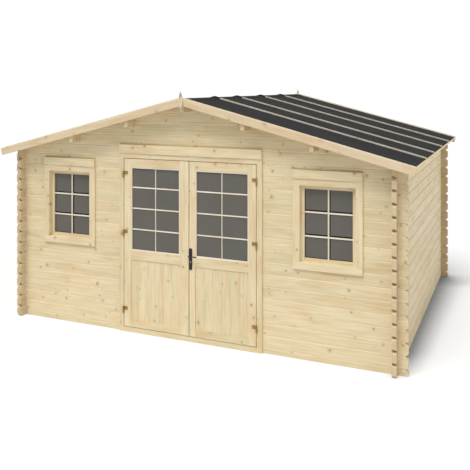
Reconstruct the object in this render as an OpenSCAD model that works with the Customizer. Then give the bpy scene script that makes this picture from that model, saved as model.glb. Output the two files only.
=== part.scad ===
// Log cabin with a low gable roof, a pair of half-glazed doors and a window on each side of them.
// Millimetres. X runs along the front, Y from the front to the back, Z up from the ground.
// The origin is on the ground in the middle of the plan. The front faces -Y.

/* [Logs] */
// Height of one course of logs
log_h = 120; // [110:1:132]
// Thickness of the logs
log_t = 44; // [34:1:58]
// Courses of a side wall above the top of the door's opening
courses_over_door = 0; // [0:1:3]
// Chamfer along the edges of a log
log_chamfer = 4; // [2:0.5:8]
// Reach of a log past the middle of the wall that it crosses
log_end = 112; // [90:1:140]
// Length of the cut across the corners of a log's free end
end_cut_len = 30; // [8:1:40]
// Height of the cut across the corners of a log's free end
end_cut_h = 21; // [8:1:26]
// Width of the tongue along the top of a log
tongue_w = 14; // [8:1:18]
// Height of the tongue along the top of a log
tongue_h = 9; // [5:0.5:14]
// Side clearance of a tongue in the groove above it
tongue_gap = 0.8; // [0.4:0.1:1.5]
// Gap left between two courses
log_gap = 0.6; // [0.3:0.1:2]
// Side clearance of a corner notch
notch_gap = 0.5; // [0.2:0.1:2]

/* [Plan] */
// Middle of the cabin to the middle of a side wall
wall_x = 2110; // [2060:10:2600]
// Middle of the cabin to the middle of the front or rear wall
wall_y = 1745; // [1200:5:2600]

/* [Roof] */
// Slope of the roof in degrees
pitch = 14.4; // [12:0.1:18]
// Height of the bevelled plate on the last course of a side wall
plate_rise = 13; // [10:1:60]
// Reach of the eaves past the middle of a side wall
eave_over = 187; // [160:1:400]
// Reach of the roof boards past the middle of the front or rear wall
gable_over = 166; // [130:2:400]
// Thickness of the roof boards
deck_t = 19; // [15:1:28]
// Thickness of the roofing felt
felt_t = 3; // [2:0.5:6]
// Width of a full strip of felt, from batten to batten
felt_strip_w = 795; // [700:5:900]
// Width of the felt over the ridge, on each slope
ridge_felt_w = 70; // [50:1:200]
// Width of a batten on the felt
batten_w = 34; // [20:1:60]
// Thickness of a batten on the felt
batten_t = 12; // [8:1:25]
// Middle of the roof to the inner pair of purlins
purlin_inner_x = 662; // [500:2:800]
// Middle of the roof to the outer pair of purlins
purlin_outer_x = 1358; // [1200:2:1600]
// Width of a purlin
purlin_w = 40; // [30:1:70]
// Underside of a purlin below the top line of the roof
purlin_drop = 150; // [110:1:180]
// Depth of a bargeboard, square to the slope
barge_w = 83; // [70:1:110]
// Thickness of a bargeboard
barge_t = 19; // [15:1:30]
// Height of the bargeboards' top edge above the felt
barge_lip = 14; // [0:0.5:25]
// Reach of the bargeboards past the eaves
barge_past = 18; // [0:1:40]
// Height of a finial
finial_h = 182; // [120:1:260]
// Width of a finial at its shoulders
finial_w = 54; // [40:1:80]
// Thickness of a finial
finial_t = 16; // [12:1:25]
// Height of a finial's point above the bargeboards
finial_rise = 56; // [30:1:90]
// Depth of the strip along the eaves
eave_strip_h = 22; // [20:1:80]
// Thickness of the strip along the eaves
eave_strip_t = 18; // [12:1:30]

/* [Door] */
// Width of the pair of leaves
door_w = 1514; // [1300:2:1700]
// Height of the leaves
door_h = 1793; // [1600:1:1840]
// Height of the threshold above the floor
threshold_step = 1; // [0:1:25]
// Thickness of a leaf
leaf_t = 40; // [34:1:50]
// Clearance round the pair of leaves
leaf_gap = 6; // [5:0.5:10]
// Place of the seam between the leaves, right of the middle
seam_x = 18; // [0:1:25]
// Clearance between the two leaves
seam_gap = 8; // [7:0.5:12]
// Width of the stile on the hinge side
hinge_stile_w = 80; // [60:1:120]
// Width of the two stiles that meet, together
meeting_stiles_w = 176; // [160:2:240]
// Height of the top rail
top_rail_h = 88; // [60:1:120]
// Height of the rail between the glass and the panel
mid_rail_h = 95; // [60:1:140]
// Height of the bottom rail
bottom_rail_h = 76; // [60:1:140]
// Height of the boarded panel
panel_h = 643; // [400:1:800]
// Thickness of the boarded panel
panel_t = 20; // [12:1:24]
// Depth of the panel behind the front of the leaf
panel_set = 7; // [3:0.5:12]
// Thickness of the panes
glass_t = 5; // [3:0.5:8]
// Depth of the panes behind the front of the leaf
glass_set = 18; // [12:0.5:28]
// Gap at the joints of stiles and rails
joint_gap = 0.4; // [0.2:0.1:1]
// Thickness of the jambs, across the opening
jamb_t = 27; // [20:1:40]
// Width of the stop behind the leaves
stop_w = 18; // [10:1:30]
// Width of the casing on the wall beside the door
casing_w = 55; // [42:1:90]
// Thickness of the casing on both faces of the wall
casing_t = 20; // [14:1:30]
// Front of the leaves behind the front of the casing
leaf_set = 2; // [0:0.5:6]
// Height of the casing over the door
head_casing_h = 52; // [34:1:60]
// Height of the board over the door
door_header_h = 91; // [60:1:110]
// Reach of the board over the door past the casing
door_header_over = 0; // [0:1:100]
// Thickness of the board over the door
door_header_t = 30; // [24:1:60]

/* [Hinges] */
// Height of the lower hinges above the bottom of the leaf
hinge_low_up = 177; // [60:1:350]
// Height of the middle hinges above the middle of the leaf
hinge_mid_up = 99.5; // [-200:0.5:200]
// Depth of the upper hinges below the top of the leaf
hinge_top_down = 169; // [60:1:350]
// Radius of a hinge's barrel
barrel_r = 8; // [6:0.5:9]
// Height of each half of a hinge
knuckle_h = 35; // [25:1:50]
// Radius of a hinge's pin
hinge_pin_r = 3.5; // [2.5:0.1:4]
// Clearance round a hinge's pin
hinge_pin_gap = 0.3; // [0.2:0.05:0.6]
// Gap between the two halves of a hinge
knuckle_gap = 1; // [0.5:0.1:3]
// Middle of the barrel outside the edge of the leaf
hinge_side = 7; // [6:0.5:10]
// Reach of the hinge's arm on the leaf
arm_len = 48; // [35:1:70]
// Thickness of the hinge's arm
arm_t = 5; // [4:0.5:7]

/* [Handle] */
// Width of the handle's plates
plate_w = 34; // [28:1:42]
// Height of the handle's plates
plate_h = 222; // [160:1:260]
// Thickness of the handle's plates
plate_t = 6; // [4:0.5:10]
// Middle of the plates above the ground
plate_z = 850; // [800:1:900]
// Height of the lever's spindle above the middle of the plates
lever_up = 36; // [20:1:60]
// Drop of the keyhole below the middle of the plates
keyhole_drop = 28; // [15:1:60]
// Radius of the keyhole
keyhole_r = 4; // [3:0.5:6]
// Length of the lever
lever_len = 88; // [70:1:120]
// Radius of the lever's bar
lever_r = 6.5; // [5:0.5:9]
// Distance of the lever's bar from the face of the leaf
lever_out = 50; // [38:1:65]
// Radius of the lever's neck
neck_r = 8; // [6:0.5:10]
// Radius of the spindle
spindle_r = 5; // [4:0.5:7]
// Clearance round the neck and the spindle
spindle_gap = 0.5; // [0.3:0.1:1.5]

/* [Windows] */
// Place of a window, outwards of the middle of the wall beside the door
window_shift = 21; // [-60:1:60]
// Width of the window's opening
window_w = 543; // [400:1:620]
// Height of the window's opening
window_h = 737; // [500:1:800]
// Top of the window's opening below the top of the door's leaves
window_down = 175; // [140:1:320]
// Thickness of the window's lining, across the opening
lining_t = 20; // [14:1:30]
// Width of the casing beside the window
window_casing_w = 66; // [45:1:90]
// Height of the casing above the window
window_top_casing_h = 67; // [40:1:80]
// Height of the casing below the window
window_low_casing_h = 69; // [50:1:110]
// Thickness of the window's casing
window_casing_t = 18; // [12:1:28]
// Height of the board over the window
window_header_h = 82; // [50:1:110]
// Thickness of the board over the window
window_header_t = 28; // [22:1:50]
// Reach of the board over the window past the casing
window_header_over = 0; // [0:1:60]
// Width of the sash's stiles and rails
sash_w = 36; // [25:1:60]
// Thickness of the sash
sash_t = 36; // [25:1:42]
// Front of the sash behind the front of the casing
sash_set = 45; // [20:1:50]
// Thickness of the window's pane
window_glass_t = 4; // [3:0.5:8]

/* [Floor] */
// Thickness of the floor boards
floor_t = 22; // [16:1:30]
// Height of the bearers under the floor
bearer_h = 28; // [20:1:45]
// Width of a bearer
bearer_w = 60; // [40:1:90]
// Distance between the middles of two bearers
bearer_step = 600; // [400:10:800]
// Gap between the floor and the walls
floor_gap = 5; // [2:1:15]

/* [Hidden] */
$fn = 48;
fit = 2;
seat_gap = 0.03;
slope = tan(pitch);
notch_h = log_h / 4;
felt_v = felt_t / cos(pitch);
deck_v = deck_t / cos(pitch);
batten_v = batten_t / cos(pitch);
floor_z = bearer_h + floor_t;
threshold_z = floor_z + threshold_step;
wall_out = -wall_y - log_t / 2;
wall_in = -wall_y + log_t / 2;
log_reach = wall_x + log_end;
door_half = door_w / 2;
door_base = threshold_z + leaf_gap;
door_top = door_base + door_h;
field_x = meeting_stiles_w / 2;
field_end = door_half - hinge_stile_w;
opening_x = door_half + leaf_gap;
casing_x = opening_x + casing_w;
rough_x = opening_x + jamb_t + fit;
rough_top = door_top + leaf_gap + jamb_t + fit;
side_courses = ceil(rough_top / log_h) + courses_over_door;
deck_drop = barge_lip + felt_v + seat_gap;
under_drop = deck_drop + deck_v;
seat_drop = under_drop + seat_gap;
apex_z = side_courses * log_h + plate_rise + slope * wall_x + under_drop;
roof_x = wall_x + eave_over;
roof_y = wall_y + gable_over;
deck_x = roof_x - eave_strip_t;
barge_x = roof_x + barge_past;
ridge_gap = 0.3;
batten_count = ceil(2 * (roof_y - batten_w) / felt_strip_w) - 2;
batten_y = concat([-roof_y + felt_strip_w], [for (i = [1:batten_count]) roof_y - i * felt_strip_w]);
purlin_xs = [-purlin_outer_x, -purlin_inner_x, 0, purlin_inner_x, purlin_outer_x];
leaf_front = wall_out - casing_t + leaf_set;
leaf_back = leaf_front + leaf_t;
stop_front = leaf_back + leaf_gap;
panel_z = door_base + bottom_rail_h;
mid_rail_z = panel_z + panel_h;
pane_z = mid_rail_z + mid_rail_h;
pane_top = door_top - top_rail_h;
hinge_zs = [door_base + hinge_low_up, door_base + door_h / 2 + hinge_mid_up, door_top - hinge_top_down];
barrel_gap = 1;
pin_cover = 1;
axis_x = door_half + hinge_side;
axis_y = wall_out - casing_t - barrel_r - barrel_gap;
lever_x = seam_x + seam_gap / 2 + plate_w / 2;
lever_z = plate_z + lever_up;
window_x = (casing_x + wall_x - log_t / 2) / 2 + window_shift;
window_rough_x = window_w / 2 + lining_t + fit;
window_top = door_top - window_down;
window_z = window_top - window_h;
sash_front = wall_out - window_casing_t + sash_set;
gable_first = floor((rough_top + log_h / 2) / log_h);
gable_last = floor((apex_z - under_drop) / log_h);
bearer_count = floor((wall_x - log_t) / bearer_step);
spruce = "#e3cf9f";
spruce_light = "#ead8ae";
felt_grey = "#403f3f";
brass = "#8d7238";
black_iron = "#1f1f1f";
pane_grey = [0.42, 0.41, 0.39, 0.6];

// Top line of the roof at a distance from the ridge
function top_z(x) = apex_z - slope * abs(x);

// A profile in X and Z, drawn out along Y
module along_y(y0, y1) translate([0, y1, 0]) rotate([90, 0, 0]) linear_extrude(y1 - y0) children();

// A profile in Y and Z, drawn out along X
module along_x(x0, x1) translate([x0, 0, 0]) rotate([90, 0, 90]) linear_extrude(x1 - x0) children();

// A box between two corners
module box(low, high) translate(low) cube(high - low);

// The same piece on the other side of the middle
module mirrored() mirror([1, 0, 0]) children();

// A piece with its twin on the other side of the middle
module paired() {
    children();
    mirrored() children();
}

// A sheet on the right slope, between two distances from the ridge and two drops from the top line
module sheet(x0, x1, high, low)
    polygon([[x0, top_z(x0) - high], [x1, top_z(x1) - high], [x1, top_z(x1) - low], [x0, top_z(x0) - low]]);

// Cross-section of a log from z0 to z1: chamfered edges, a groove below and a tongue above of given heights
module log_section(z0, z1, groove, tongue)
    let (w = log_t / 2, c = log_chamfer, g = tongue_w / 2 + tongue_gap, t = tongue_w / 2)
    polygon(concat(
        [[-w, z0 + c], [c - w, z0]],
        groove > 0 ? [[-g, z0], [-g, z0 + groove], [g, z0 + groove], [g, z0]] : [],
        [[w - c, z0], [w, z0 + c], [w, z1 - c], [w - c, z1]],
        tongue > 0 ? [[t, z1], [t, z1 + tongue], [-t, z1 + tongue], [-t, z1]] : [],
        [[c - w, z1], [-w, z1 - c]]
    ));

// Corners of one notch with its floor at a height, in the order they are met along an edge at height z
function notch(at, side, z, seat) = let (half = side * (log_t / 2 + notch_gap))
    [[at - half, z], [at - half, seat], [at + half, seat], [at + half, z]];

// Length that the slanting cut takes off a log's free end at a height above where it starts
function cut_len(rise) = end_cut_len * rise / end_cut_h;

// Side view of a log from a to b: cut corners at its free ends and notches where it crosses a wall.
// seats holds the heights of the notches' floors below and above, or undef where there is no notch.
function log_outline(a, b, z0, z1, tongue, free, low_cut, crossings, seats) = let (
    top = z1 + tongue,
    top_cut = cut_len(end_cut_h + tongue)
) concat(
    free[0] ? [[a, z0 + low_cut], [a + cut_len(low_cut), z0]] : [[a, z0]],
    seats[0] == undef ? [] : [for (at = crossings) each notch(at, 1, z0, seats[0])],
    free[1] ? [[b - cut_len(low_cut), z0], [b, z0 + low_cut]] : [[b, z0]],
    free[1] ? [[b, z1 - end_cut_h], [b - top_cut, top]] : [[b, top]],
    seats[1] == undef ? [] : [for (i = [len(crossings) - 1:-1:0]) each notch(crossings[i], -1, top, seats[1])],
    free[0] ? [[a + top_cut, top], [a, z1 - end_cut_h]] : [[a, top]]
);

// A log of the front or rear wall, in course j, which starts half a course lower than the side walls'.
// Its notches leave the middle half of the course, which stands on the side walls' logs.
module cross_log(yc, a, b, j, free, crossings) {
    mid = j * log_h;
    z0 = max(0, mid - log_h / 2);
    z1 = j == gable_last ? apex_z : mid + log_h / 2 - log_gap;
    groove = j > 0 ? tongue_h : 0;
    tongue = j < gable_last ? tongue_h : 0;
    seats = [j > 0 && j <= side_courses ? mid - notch_h : undef, j < side_courses ? mid + notch_h : undef];
    intersection() {
        along_x(a, b) translate([yc, 0]) log_section(z0, z1, groove, tongue);
        along_y(yc - log_t, yc + log_t)
            polygon(log_outline(a, b, z0, z1, tongue, free, j > 0 ? end_cut_h : 0, crossings, seats));
    }
}

// A log of a side wall, in course k; the last one is taller and is bevelled under the roof
module side_log(k) {
    reach = wall_y + log_end;
    last = k == side_courses - 1;
    z0 = k * log_h;
    z1 = z0 + (last ? log_h + plate_rise + slope * log_t + end_cut_h : log_h - log_gap);
    groove = k > 0 ? tongue_h : 0;
    tongue = last ? 0 : tongue_h;
    seats = [z0 + notch_h, z0 + log_h - notch_h];
    intersection() {
        along_y(-reach, reach) translate([wall_x, 0]) log_section(z0, z1, groove, tongue);
        along_x(wall_x - log_t, wall_x + log_t)
            polygon(log_outline(-reach, reach, z0, z1, tongue, [true, true], end_cut_h, [-wall_y, wall_y], seats));
        if (last) under_roof();
    }
}

// Everything below the underside of the roof boards
module under_roof() let (reach = log_reach + log_t)
    along_y(-roof_y, roof_y) polygon([
        [-reach, 0], [reach, 0],
        [reach, top_z(reach) - seat_drop], [0, apex_z - seat_drop], [-reach, top_z(reach) - seat_drop]
    ]);

// Cross-section of a purlin, bevelled under the roof boards
module purlin_section(x) let (half = purlin_w / 2, z0 = top_z(x) - purlin_drop)
    polygon(concat(
        [[x - half, z0], [x + half, z0], [x + half, top_z(x + half) - seat_drop]],
        abs(x) < half ? [[0, apex_z - seat_drop]] : [],
        [[x - half, top_z(x - half) - seat_drop]]
    ));

// Pocket that a purlin stands in, open at the top of the gable
module purlin_pocket(x) let (half = purlin_w / 2 + notch_gap, z0 = top_z(x) - purlin_drop)
    translate([x - half, z0]) square([2 * half, apex_z - z0]);

// Logs of a gable, cut to the slope of the roof and let in round the purlins
module gable(yc) difference() {
    intersection() {
        for (j = [gable_first:gable_last])
            cross_log(yc, -log_reach, log_reach, j, [j <= side_courses, j <= side_courses], [-wall_x, wall_x]);
        under_roof();
    }
    for (x = purlin_xs) along_y(yc - log_t, yc + log_t) purlin_pocket(x);
}

// The hole in the wall for the window on the left
module window_hole()
    box([-window_x - window_rough_x, wall_out - log_t, window_z - lining_t - fit],
        [-window_x + window_rough_x, wall_in + log_t, window_top + lining_t + fit]);

// The hole in the wall for the door
module door_hole() box([-rough_x, wall_out - log_t, -fit], [rough_x, wall_in + log_t, rough_top]);

// Logs of the front wall from the left corner to the door, with the hole for the window
module front_wall_half() difference() {
    for (j = [0:gable_first - 1]) cross_log(-wall_y, -log_reach, -rough_x, j, [true, false], [-wall_x]);
    window_hole();
}

// Walls
module front_wall_left() color(spruce) front_wall_half();

module front_wall_right() color(spruce) mirrored() front_wall_half();

module front_gable() color(spruce) difference() {
    gable(-wall_y);
    door_hole();
    paired() window_hole();
}

module rear_wall() color(spruce)
    for (j = [0:gable_first - 1]) cross_log(wall_y, -log_reach, log_reach, j, [true, true], [-wall_x, wall_x]);

module rear_gable() color(spruce) gable(wall_y);

module right_wall() color(spruce) for (k = [0:side_courses - 1]) side_log(k);

module left_wall() color(spruce) mirrored() for (k = [0:side_courses - 1]) side_log(k);

// Floor
floor_front = wall_in + casing_t + floor_gap;
floor_back = wall_y - log_t / 2 - floor_gap;
floor_x = wall_x - log_t / 2 - floor_gap;

module floor_bearers() color(spruce)
    for (i = [-bearer_count:bearer_count])
        box([i * bearer_step - bearer_w / 2, floor_front, 0], [i * bearer_step + bearer_w / 2, floor_back, bearer_h]);

module floor_boards() color(spruce_light)
    box([-floor_x, floor_front, bearer_h], [floor_x, floor_back, floor_z]);

// Lining that clips over the edge of the wall: casings on both faces, a web between and a stop at the back.
// Drawn with the opening on the left of u = 0.
module lining_section(web, outer, inner, out_t, stop, stop_at) polygon([
    [0, wall_out - out_t], [outer, wall_out - out_t], [outer, wall_out], [web, wall_out],
    [web, wall_in], [inner, wall_in], [inner, wall_in + out_t],
    [-stop, wall_in + out_t], [-stop, stop_at], [0, stop_at]
]);

// Turns a section drawn in u and Y so that u points up
module upwards(x0, x1, z) along_x(x0, x1) translate([0, z]) rotate(90) mirror([0, 1]) children();

// Lining across the top of an opening of half a width; only its casings reach over the wall beside it
module head_lining(half, web, casing, z, height, out_t, stop_at) let (reach = half + casing) difference() {
    upwards(-reach, reach, z) lining_section(web, height, height, out_t, 0, stop_at);
    paired() box([half + web, wall_out, z - fit], [reach + fit, wall_in, z + height]);
}

module door_jambs() color(spruce_light) paired()
    linear_extrude(door_top + leaf_gap) translate([opening_x, 0])
        lining_section(jamb_t, casing_w, casing_w, casing_t, stop_w, stop_front);

module door_head() color(spruce_light) {
    z = door_top + leaf_gap;
    head_lining(opening_x, jamb_t, casing_w, z, head_casing_h, casing_t, stop_front);
    box([-opening_x + stop_w, stop_front, z - stop_w], [opening_x - stop_w, wall_in + casing_t, z]);
}

module door_threshold() color(spruce_light) {
    box([-opening_x, wall_out - casing_t, 0], [opening_x, stop_front, threshold_z]);
    box([-opening_x + stop_w, stop_front, 0], [opening_x - stop_w, wall_in + casing_t, threshold_z + stop_w]);
}

module door_header() color(spruce_light)
    let (reach = casing_x + door_header_over, z = door_top + leaf_gap + head_casing_h)
    box([-reach, wall_out - door_header_t, z], [reach, wall_out, z + door_header_h]);

// Windows, drawn on the left
module window_frame() let (half = window_w / 2) translate([-window_x, 0, 0]) {
    paired() translate([half, 0, window_z + joint_gap]) linear_extrude(window_h - 2 * joint_gap)
        lining_section(lining_t, window_casing_w, window_casing_w, window_casing_t, 0, sash_front);
    window_head_lining(window_top, window_top_casing_h);
    translate([0, 0, 2 * window_z]) mirror([0, 0, 1]) window_head_lining(window_z, window_low_casing_h);
}

module window_head_lining(z, height)
    head_lining(window_w / 2, lining_t, window_casing_w, z, height, window_casing_t, sash_front);

module window_header()
    let (reach = window_w / 2 + window_casing_w + window_header_over, z = window_top + window_top_casing_h)
    box([-window_x - reach, wall_out - window_header_t, z], [-window_x + reach, wall_out, z + window_header_h]);

// Two stiles and two rails round an opening, as separate pieces
module sash_pieces(x0, x1, z0, z1, width, y0, y1) {
    box([x0, y0, z0], [x0 + width, y1, z1]);
    box([x1 - width, y0, z0], [x1, y1, z1]);
    for (z = [z0, z1 - width]) box([x0 + width + joint_gap, y0, z], [x1 - width - joint_gap, y1, z + width]);
}

module window_sash() let (half = window_w / 2)
    sash_pieces(-window_x - half, -window_x + half, window_z, window_top, sash_w, sash_front, sash_front + sash_t);

module window_pane() let (half = window_w / 2 - sash_w, y = sash_front + (sash_t - window_glass_t) / 2)
    box([-window_x - half, y, window_z + sash_w], [-window_x + half, y + window_glass_t, window_top - sash_w]);

module left_window_frame() color(spruce_light) window_frame();

module left_window_header() color(spruce_light) window_header();

module left_window_sash() color(spruce_light) window_sash();

module left_window_pane() color(pane_grey) window_pane();

module right_window_frame() color(spruce_light) mirrored() window_frame();

module right_window_header() color(spruce_light) mirrored() window_header();

module right_window_sash() color(spruce_light) mirrored() window_sash();

module right_window_pane() color(pane_grey) mirrored() window_pane();

// Roof
module ridge_purlin() color(spruce) along_y(-roof_y, roof_y) purlin_section(0);

module side_purlins() for (x = [purlin_inner_x, purlin_outer_x]) along_y(-roof_y, roof_y) purlin_section(x);

module right_purlins() color(spruce) side_purlins();

module left_purlins() color(spruce) mirrored() side_purlins();

module roof_boards() along_y(-roof_y, roof_y) sheet(ridge_gap, deck_x, deck_drop, under_drop);

module right_roof_boards() color(spruce) roof_boards();

module left_roof_boards() color(spruce) mirrored() roof_boards();

module felt() along_y(-roof_y, roof_y) sheet(ridge_gap, roof_x, barge_lip, barge_lip + felt_v);

module right_felt() color(felt_grey) felt();

module left_felt() color(felt_grey) mirrored() felt();

// A folded strip over the ridge, of a given height above the felt
module ridge_strip(v, y0, y1) let (w = ridge_felt_w, low = seat_gap - barge_lip, high = low + v)
    along_y(y0, y1) polygon([
        [-w, top_z(w) + low], [0, apex_z + low], [w, top_z(w) + low],
        [w, top_z(w) + high], [0, apex_z + high], [-w, top_z(w) + high]
    ]);

module ridge_felt() color(felt_grey) {
    ridge_strip(felt_v, -roof_y, roof_y);
    for (y = batten_y) ridge_strip(batten_v + felt_v, y - batten_w / 2 - felt_t, y + batten_w / 2 + felt_t);
}

module battens() for (y = batten_y)
    along_y(y - batten_w / 2, y + batten_w / 2) sheet(ridge_felt_w, roof_x, barge_lip - seat_gap - batten_v, barge_lip - seat_gap);

module right_battens() color(spruce_light) battens();

module left_battens() color(spruce_light) mirrored() battens();

// Bargeboard on the right slope, plumb at the ridge and square at the eaves
module bargeboard_section() polygon([
    [ridge_gap, top_z(ridge_gap)],
    [barge_x, top_z(barge_x)],
    [barge_x - barge_w * sin(pitch), top_z(barge_x) - barge_w * cos(pitch)],
    [ridge_gap, top_z(ridge_gap) - barge_w / cos(pitch)]
]);

module front_bargeboards() color(spruce_light) paired() along_y(-roof_y - barge_t, -roof_y) bargeboard_section();

module rear_bargeboards() color(spruce_light) paired() along_y(roof_y, roof_y + barge_t) bargeboard_section();

module finial() along_y(-roof_y - barge_t - finial_t, -roof_y - barge_t) let (tip = apex_z + finial_rise)
    polygon([[0, tip], [finial_w / 2, tip - finial_h / 2], [0, tip - finial_h], [-finial_w / 2, tip - finial_h / 2]]);

module finials() color(spruce_light) {
    finial();
    mirror([0, 1, 0]) finial();
}

module eave_strips() color(spruce_light) paired()
    along_y(-roof_y, roof_y) sheet(deck_x, roof_x, deck_drop, deck_drop + eave_strip_h);

// Hinges, drawn on the right at one height
module hinge_half_pin(z) translate([axis_x, axis_y, z - knuckle_gap]) {
    translate([0, 0, -knuckle_h]) cylinder(r = barrel_r, h = knuckle_h);
    cylinder(r = hinge_pin_r, h = knuckle_h - knuckle_gap);
    translate([0, 0, -knuckle_h / 2]) rotate([-90, 0, 0])
        cylinder(r = hinge_pin_r, h = wall_out - casing_t - axis_y);
}

// The half on the leaf: a barrel with a cranked arm that reaches over the casing's edge
module hinge_half_arm(z) difference() {
    union() {
        translate([axis_x, axis_y, z]) cylinder(r = barrel_r, h = knuckle_h);
        box([door_half - arm_t, axis_y, z], [axis_x, axis_y + barrel_r, z + knuckle_h]);
        box([door_half - arm_t, axis_y, z], [door_half, leaf_front, z + knuckle_h]);
        box([axis_x - arm_len, leaf_front - arm_t, z], [door_half, leaf_front, z + knuckle_h]);
    }
    translate([axis_x, axis_y, z - fit]) cylinder(r = hinge_pin_r + hinge_pin_gap, h = knuckle_h + fit - pin_cover);
}

module hinge_pins() color(brass) paired() for (z = hinge_zs) hinge_half_pin(z);

// Stiles and rails of a leaf, from its meeting edge to its hinge edge, drawn on the right
module leaf_frame(meet) {
    box([meet, leaf_front, door_base], [field_x, leaf_back, door_top]);
    box([field_end, leaf_front, door_base], [door_half, leaf_back, door_top]);
    for (rail = [[door_base, bottom_rail_h], [mid_rail_z, mid_rail_h], [pane_top, top_rail_h]])
        box([field_x + joint_gap, leaf_front, rail[0]], [field_end - joint_gap, leaf_back, rail[0] + rail[1]]);
}

module leaf_panel() let (y = leaf_front + panel_set)
    box([field_x, y, panel_z], [field_end, y + panel_t, mid_rail_z]);

module leaf_pane() let (y = leaf_front + glass_set)
    box([field_x, y, pane_z], [field_end, y + glass_t, pane_top]);

module left_leaf_frame() color(spruce_light) mirrored() leaf_frame(-seam_x + seam_gap / 2);

module left_leaf_panel() color(spruce) mirrored() leaf_panel();

module left_leaf_pane() color(pane_grey) mirrored() leaf_pane();

module left_leaf_hinges() color(brass) mirrored() for (z = hinge_zs) hinge_half_arm(z);

// The right leaf is bored for the handle's spindle and for the key
module right_leaf_frame() color(spruce_light) difference() {
    leaf_frame(seam_x + seam_gap / 2);
    through_leaf(lever_z, spindle_r + spindle_gap);
    through_leaf(plate_z - keyhole_drop, keyhole_r);
}

module right_leaf_panel() color(spruce) leaf_panel();

module right_leaf_pane() color(pane_grey) leaf_pane();

module right_leaf_hinges() color(brass) for (z = hinge_zs) hinge_half_arm(z);

// Handle
module through_leaf(z, r) translate([lever_x, leaf_front - plate_t - fit, z]) rotate([-90, 0, 0])
    cylinder(r = r, h = leaf_t + 2 * plate_t + 2 * fit);

module handle_plate(y) difference() {
    along_y(y, y + plate_t) translate([lever_x, plate_z]) {
        square([plate_w, plate_h - plate_w], center = true);
        for (s = [-1, 1]) translate([0, s * (plate_h - plate_w) / 2]) circle(d = plate_w);
    }
    through_leaf(lever_z, neck_r + spindle_gap);
    through_leaf(plate_z - keyhole_drop, keyhole_r);
}

module handle_plates() color(black_iron) {
    handle_plate(leaf_front - plate_t);
    handle_plate(leaf_back);
}

// One lever on its neck, pointing to the hinges, at a distance from the middle of the leaf
module lever() let (out = leaf_t / 2 + lever_out, rod = leaf_t / 2 + plate_t / 2) {
    rotate([90, 0, 0]) translate([0, 0, rod]) cylinder(r = neck_r, h = out - rod);
    translate([0, -out, 0]) {
        sphere(r = neck_r);
        rotate([0, 90, 0]) cylinder(r = lever_r, h = lever_len - lever_r);
        translate([lever_len - lever_r, 0, 0]) sphere(r = lever_r);
    }
}

module lever_handle() color(black_iron) translate([lever_x, leaf_front + leaf_t / 2, lever_z]) {
    lever();
    mirror([0, 1, 0]) lever();
    rotate([90, 0, 0]) cylinder(r = spindle_r, h = leaf_t + plate_t + fit, center = true);
}

front_wall_left();
front_wall_right();
front_gable();
rear_wall();
rear_gable();
left_wall();
right_wall();
floor_bearers();
floor_boards();
door_jambs();
door_head();
door_threshold();
door_header();
left_window_frame();
left_window_header();
left_window_sash();
left_window_pane();
right_window_frame();
right_window_header();
right_window_sash();
right_window_pane();
ridge_purlin();
left_purlins();
right_purlins();
left_roof_boards();
right_roof_boards();
left_felt();
right_felt();
ridge_felt();
left_battens();
right_battens();
front_bargeboards();
rear_bargeboards();
finials();
eave_strips();
hinge_pins();
left_leaf_frame();
left_leaf_panel();
left_leaf_pane();
left_leaf_hinges();
right_leaf_frame();
right_leaf_panel();
right_leaf_pane();
right_leaf_hinges();
handle_plates();
lever_handle();
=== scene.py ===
import math

import bmesh
import bpy
from mathutils import Matrix, Vector


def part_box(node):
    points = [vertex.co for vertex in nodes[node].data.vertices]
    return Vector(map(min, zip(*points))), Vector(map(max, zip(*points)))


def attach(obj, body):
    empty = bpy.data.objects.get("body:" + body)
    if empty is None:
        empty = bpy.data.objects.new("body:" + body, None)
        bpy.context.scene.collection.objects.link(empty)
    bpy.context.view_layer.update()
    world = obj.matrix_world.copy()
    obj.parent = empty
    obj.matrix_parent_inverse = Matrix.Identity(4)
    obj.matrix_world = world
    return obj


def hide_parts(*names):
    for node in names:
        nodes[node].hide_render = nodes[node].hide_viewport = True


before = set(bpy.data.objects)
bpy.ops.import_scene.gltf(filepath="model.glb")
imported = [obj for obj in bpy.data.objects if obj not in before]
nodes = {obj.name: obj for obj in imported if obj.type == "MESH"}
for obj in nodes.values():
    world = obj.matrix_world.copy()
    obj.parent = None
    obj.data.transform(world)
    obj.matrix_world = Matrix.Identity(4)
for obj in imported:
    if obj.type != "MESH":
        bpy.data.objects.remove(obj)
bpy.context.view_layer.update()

scene = bpy.context.scene
scene.view_settings.view_transform = "Standard"

# Sizes and places in metres. The levels of the bars are shares of a pane's height, and boards and
# nails are counted.
LOG_H = 0.120
LOG_T = 0.044
PITCH = math.radians(14.4)
SLOPE = math.tan(PITCH)
WALL_X = 2.132
WALL_Y = 1.767
LEAF_BAR = 0.0125
LEAF_MULLION = 0.009
LEAF_BAR_DEPTH = 0.006
LEAF_LEVELS = (0.256, 0.506, 0.756)
WINDOW_BAR = 0.0145
WINDOW_BAR_DEPTH = 0.009
WINDOW_LEVELS = (0.314, 0.662)
BEAD = 0.013
BEAD_DEPTH = 0.0145
PANEL_BOARDS = 6
ROOF_BOARDS = 40
FLOOR_BOARDS = 32
HINGE_LEVELS = (0.2515, 1.0705, 1.6985)
HINGE_FRONT = -1.790
HINGE_SCREWS_X = (0.726, 0.746)
SCREW_R = 0.0042
KEYHOLE_DROP = 0.028
LOCK_R = 0.0075
LOCK_DEPTH = 0.0025
LOCK_PROUD = 0.002
BATTENS = (-1.116, -0.474, 0.321, 1.116)
NAILS = 8
NAIL_R = 0.0045
FIRST_NAIL = 0.15
NAIL_STEP = 0.29

# Width of the planed edges
BAR_EASE = 0.002
BEAD_EASE = 0.0025
PANEL_EASE = 0.0025
ROOF_EASE = 0.003
FLOOR_EASE = 0.0015


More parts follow.
